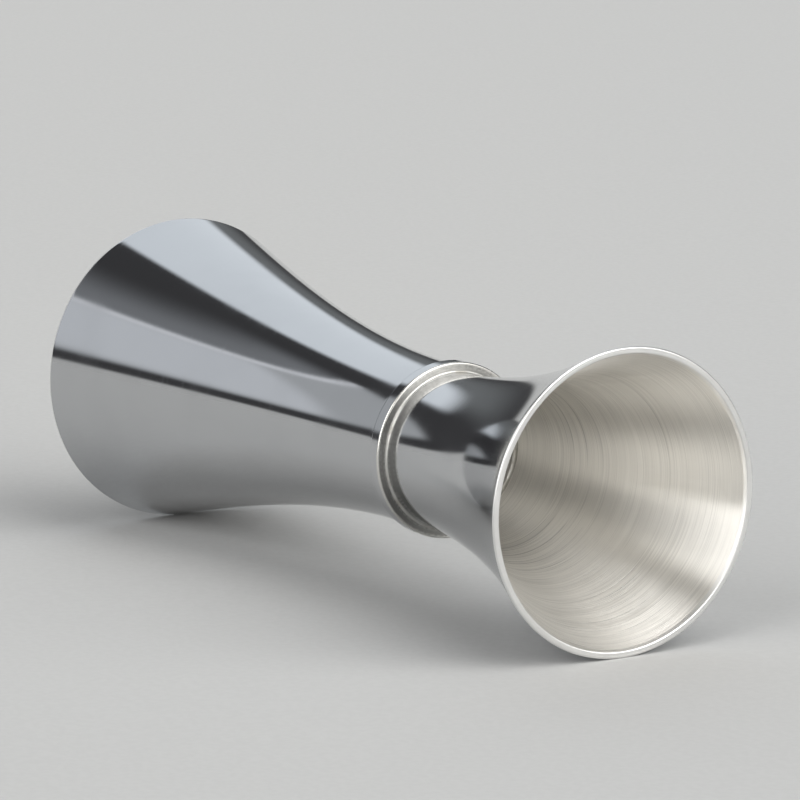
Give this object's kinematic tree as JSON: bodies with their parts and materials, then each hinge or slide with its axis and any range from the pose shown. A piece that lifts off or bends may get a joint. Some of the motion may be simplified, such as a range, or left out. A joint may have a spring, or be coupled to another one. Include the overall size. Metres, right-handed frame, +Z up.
{
  "type": "cocktail jigger",
  "caption": "Hourglass cocktail jigger: a short and a long flared steel cup soldered floor to floor inside a waist collar, for measuring drinks.",
  "frame": {"origin": "middle of the bounding box's bottom: on the surface the jigger lies on, under the middle of its length", "axes": "+X along the jigger's axis from the large mouth to the small mouth, +Z up from the surface it lies on"},
  "size_m": [0.123, 0.0478, 0.0479],
  "materials": {
    "cup_steel": "mirror-polished outside and on the lips, brushed round the axis inside",
    "turned_steel": "turned, satin",
    "solder": "dull silver solder"
  },
  "bodies": {
    "root": {"large_cup_shell": "cup_steel", "large_cup_floor": "turned_steel", "large_floor_seam": "solder", "small_cup_shell": "cup_steel", "small_cup_floor": "turned_steel", "small_floor_seam": "solder", "waist_collar": "turned_steel", "waist_solder": "solder"}
  },
  "joints": []
}
